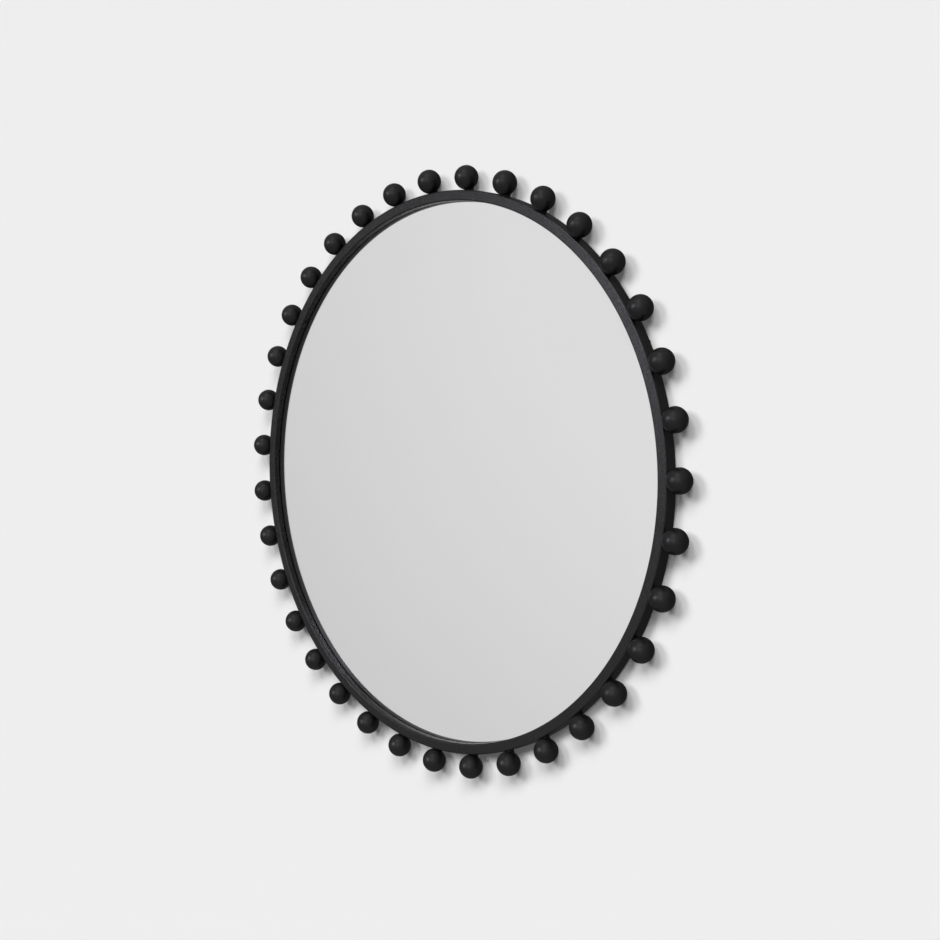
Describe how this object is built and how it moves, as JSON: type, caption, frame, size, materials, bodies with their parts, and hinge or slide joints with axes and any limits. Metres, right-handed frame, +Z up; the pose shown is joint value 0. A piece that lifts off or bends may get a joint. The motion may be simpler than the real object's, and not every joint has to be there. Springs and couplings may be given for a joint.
{
  "type": "round wall mirror",
  "caption": "Round wall mirror in a slim black ring frame, with black balls pegged round its outer edge, and keyhole plates at the back to hang it flat on a wall.",
  "frame": {"origin": "on the mirror's axis, in the plane of the wall that the pads at the back rest on", "axes": "+Z up; -Y out of the wall, the way the mirror faces; +X to the right as seen from the front"},
  "size_m": [0.8986, 0.038, 0.899],
  "materials": {
    "ring_black": "satin black paint on turned wood",
    "bead_black": "satin black paint on turned balls",
    "peg_black": "black painted dowel",
    "mirror": "clear float glass, silvered on the back",
    "cushion": "thin felt sheet",
    "board": "fibreboard, bare",
    "plate_steel": "zinc plated",
    "button_steel": "nickel plated",
    "screw_steel": "zinc plated",
    "pad_rubber": "matte"
  },
  "bodies": {
    "mirror_body": {"frame_ring": "ring_black", "mirror_glass": "mirror", "glass_cushion": "cushion", "backing_board": "board", "bead_pegs": "peg_black", "turn_button_screws": "screw_steel", "hanger_plate_left": "plate_steel", "hanger_plate_right": "plate_steel", "hanger_screws": "screw_steel", "wall_pad_1": "pad_rubber", "wall_pad_2": "pad_rubber", "wall_pad_3": "pad_rubber", "wall_pad_4": "pad_rubber", "bead_01": "bead_black", "bead_02": "bead_black", "bead_03": "bead_black", "bead_04": "bead_black", "bead_05": "bead_black", "bead_06": "bead_black", "bead_07": "bead_black", "bead_08": "bead_black", "bead_09": "bead_black", "bead_10": "bead_black", "bead_11": "bead_black", "bead_12": "bead_black", "bead_13": "bead_black", "bead_14": "bead_black", "bead_15": "bead_black", "bead_16": "bead_black", "bead_17": "bead_black", "bead_18": "bead_black", "bead_19": "bead_black", "bead_20": "bead_black", "bead_21": "bead_black", "bead_22": "bead_black", "bead_23": "bead_black", "bead_24": "bead_black", "bead_25": "bead_black", "bead_26": "bead_black", "bead_27": "bead_black", "bead_28": "bead_black", "bead_29": "bead_black", "bead_30": "bead_black", "bead_31": "bead_black", "bead_32": "bead_black", "bead_33": "bead_black", "bead_34": "bead_black", "bead_35": "bead_black"},
    "button_1": {"turn_button_1": "button_steel"},
    "button_2": {"turn_button_2": "button_steel"},
    "button_3": {"turn_button_3": "button_steel"},
    "button_4": {"turn_button_4": "button_steel"},
    "button_5": {"turn_button_5": "button_steel"},
    "button_6": {"turn_button_6": "button_steel"},
    "button_7": {"turn_button_7": "button_steel"}
  },
  "joints": [
    {"name": "button_1_turn", "type": "hinge", "parent": "mirror_body", "child": "button_1", "pos_m": [0.08699, -0.0023, 0.40087], "axis": [0, 1, 0], "continuous": true},
    {"name": "button_2_turn", "type": "hinge", "parent": "mirror_body", "child": "button_2", "pos_m": [0.36765, -0.0023, 0.18193], "axis": [0, 1, 0], "continuous": true},
    {"name": "button_3_turn", "type": "hinge", "parent": "mirror_body", "child": "button_3", "pos_m": [0.37146, -0.0023, -0.17401], "axis": [0, 1, 0], "continuous": true},
    {"name": "button_4_turn", "type": "hinge", "parent": "mirror_body", "child": "button_4", "pos_m": [0.09556, -0.0023, -0.39891], "axis": [0, 1, 0], "continuous": true},
    {"name": "button_5_turn", "type": "hinge", "parent": "mirror_body", "child": "button_5", "pos_m": [-0.2523, -0.0023, -0.32343], "axis": [0, 1, 0], "continuous": true},
    {"name": "button_6_turn", "type": "hinge", "parent": "mirror_body", "child": "button_6", "pos_m": [-0.41018, -0.0023, -0.0044], "axis": [0, 1, 0], "continuous": true},
    {"name": "button_7_turn", "type": "hinge", "parent": "mirror_body", "child": "button_7", "pos_m": [-0.25918, -0.0023, 0.31795], "axis": [0, 1, 0], "continuous": true}
  ]
}
